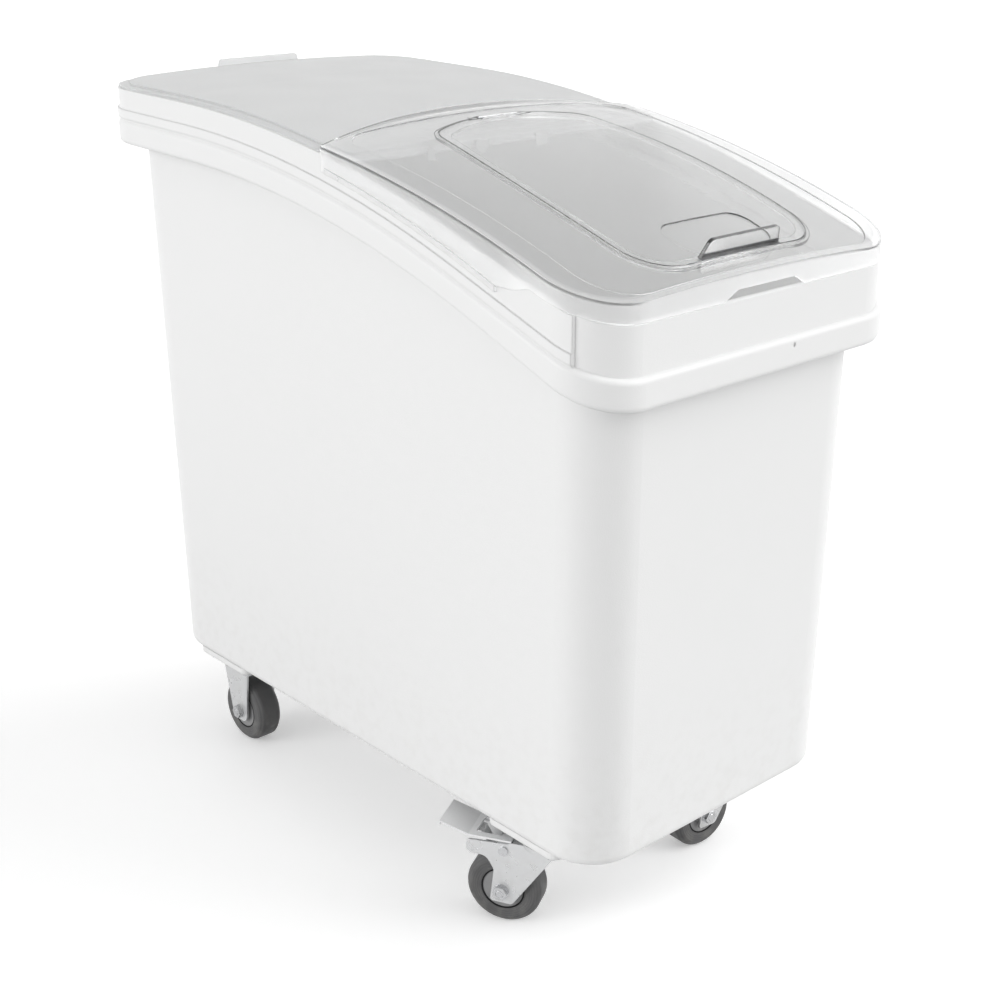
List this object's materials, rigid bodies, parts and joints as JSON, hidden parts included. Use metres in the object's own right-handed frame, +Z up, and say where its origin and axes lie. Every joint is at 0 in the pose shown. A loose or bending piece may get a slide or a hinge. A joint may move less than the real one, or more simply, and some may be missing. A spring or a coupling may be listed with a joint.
{
  "type": "mobile ingredient bin",
  "caption": "Wheeled ingredient bin with a sloping front, a translucent rear lid, a clear sliding front lid with a hinged access door, swivel casters with brakes in front and rigid ones behind.",
  "frame": {"origin": "on the floor, under the middle of the tub's rim flange", "axes": "+Z up, -Y to the sloping front with the swivel casters, X across the width"},
  "size_m": [0.411, 0.749, 0.7708],
  "materials": {
    "white_polyethylene": "moulded, satin",
    "frosted_plastic": "translucent, fine satin",
    "clear_polycarbonate": "clear, glossy",
    "zinc_steel": "bright zinc plate",
    "grey_rubber": "satin grey",
    "grey_plastic": "satin",
    "black_plastic": "satin"
  },
  "bodies": {
    "bin": {"tub": "white_polyethylene", "rear_lid": "frosted_plastic", "caster_bolts": "zinc_steel", "caster_nuts": "zinc_steel", "swivel_plate_front_left": "zinc_steel", "swivel_plate_front_right": "zinc_steel", "kingpin_front_left": "zinc_steel", "kingpin_front_right": "zinc_steel", "rigid_fork_rear_left": "zinc_steel", "axle_bolt_rear_left": "zinc_steel", "axle_nut_rear_left": "zinc_steel", "axle_sleeve_rear_left": "zinc_steel", "rigid_fork_rear_right": "zinc_steel", "axle_bolt_rear_right": "zinc_steel", "axle_nut_rear_right": "zinc_steel", "axle_sleeve_rear_right": "zinc_steel"},
    "front_lid": {"front_lid": "clear_polycarbonate", "door_hinge_pins": "zinc_steel"},
    "door": {"lid_door": "clear_polycarbonate"},
    "swivel_front_left": {"swivel_fork_front_left": "zinc_steel", "ball_ring_front_left": "zinc_steel", "axle_bolt_front_left": "zinc_steel", "axle_nut_front_left": "zinc_steel", "axle_sleeve_front_left": "zinc_steel", "pedal_pivot_front_left": "zinc_steel"},
    "brake_front_left": {"brake_pedal_front_left": "zinc_steel", "brake_spring_front_left": "zinc_steel"},
    "swivel_front_right": {"swivel_fork_front_right": "zinc_steel", "ball_ring_front_right": "zinc_steel", "axle_bolt_front_right": "zinc_steel", "axle_nut_front_right": "zinc_steel", "axle_sleeve_front_right": "zinc_steel", "pedal_pivot_front_right": "zinc_steel"},
    "brake_front_right": {"brake_pedal_front_right": "zinc_steel", "brake_spring_front_right": "zinc_steel"},
    "wheel_front_left": {"tyre_front_left": "grey_rubber", "wheel_core_front_left": "grey_plastic", "hub_rings_front_left": "black_plastic"},
    "wheel_front_right": {"tyre_front_right": "grey_rubber", "wheel_core_front_right": "grey_plastic", "hub_rings_front_right": "black_plastic"},
    "wheel_rear_left": {"tyre_rear_left": "grey_rubber", "wheel_core_rear_left": "grey_plastic", "hub_rings_rear_left": "black_plastic"},
    "wheel_rear_right": {"tyre_rear_right": "grey_rubber", "wheel_core_rear_right": "grey_plastic", "hub_rings_rear_right": "black_plastic"}
  },
  "joints": [
    {"name": "lid_slide", "type": "hinge", "parent": "bin", "child": "front_lid", "pos_m": [0, 0.2466, -0.65151], "axis": [-1, 0, 0], "range_deg": [0, 10]},
    {"name": "door_hinge", "type": "hinge", "parent": "front_lid", "child": "door", "pos_m": [0, -0.0328, 0.74566], "axis": [-1, 0, 0], "range_deg": [0, 105]},
    {"name": "swivel_front_left", "type": "hinge", "parent": "bin", "child": "swivel_front_left", "pos_m": [-0.1297, -0.2502, 0.1], "axis": [0, 0, 1], "continuous": true},
    {"name": "wheel_spin_front_left", "type": "hinge", "parent": "swivel_front_left", "child": "wheel_front_left", "pos_m": [-0.15, -0.21343, 0.0381], "axis": [-0.8755, -0.4833, 0], "continuous": true},
    {"name": "brake_front_left", "type": "hinge", "parent": "swivel_front_left", "child": "brake_front_left", "pos_m": [-0.14889, -0.21544, 0.0843], "axis": [-0.8755, -0.4833, 0], "range_deg": [0, 5]},
    {"name": "swivel_front_right", "type": "hinge", "parent": "bin", "child": "swivel_front_right", "pos_m": [0.1297, -0.2502, 0.1], "axis": [0, 0, 1], "continuous": true},
    {"name": "wheel_spin_front_right", "type": "hinge", "parent": "swivel_front_right", "child": "wheel_front_right", "pos_m": [0.08779, -0.24742, 0.0381], "axis": [-0.0663, -0.9978, 0], "continuous": true},
    {"name": "brake_front_right", "type": "hinge", "parent": "swivel_front_right", "child": "brake_front_right", "pos_m": [0.09009, -0.24757, 0.0843], "axis": [-0.0663, -0.9978, 0], "range_deg": [0, 5]},
    {"name": "wheel_spin_rear_left", "type": "hinge", "parent": "bin", "child": "wheel_rear_left", "pos_m": [-0.1301, 0.2565, 0.0381], "axis": [1, 0, 0], "continuous": true},
    {"name": "wheel_spin_rear_right", "type": "hinge", "parent": "bin", "child": "wheel_rear_right", "pos_m": [0.1301, 0.2565, 0.0381], "axis": [1, 0, 0], "continuous": true}
  ]
}
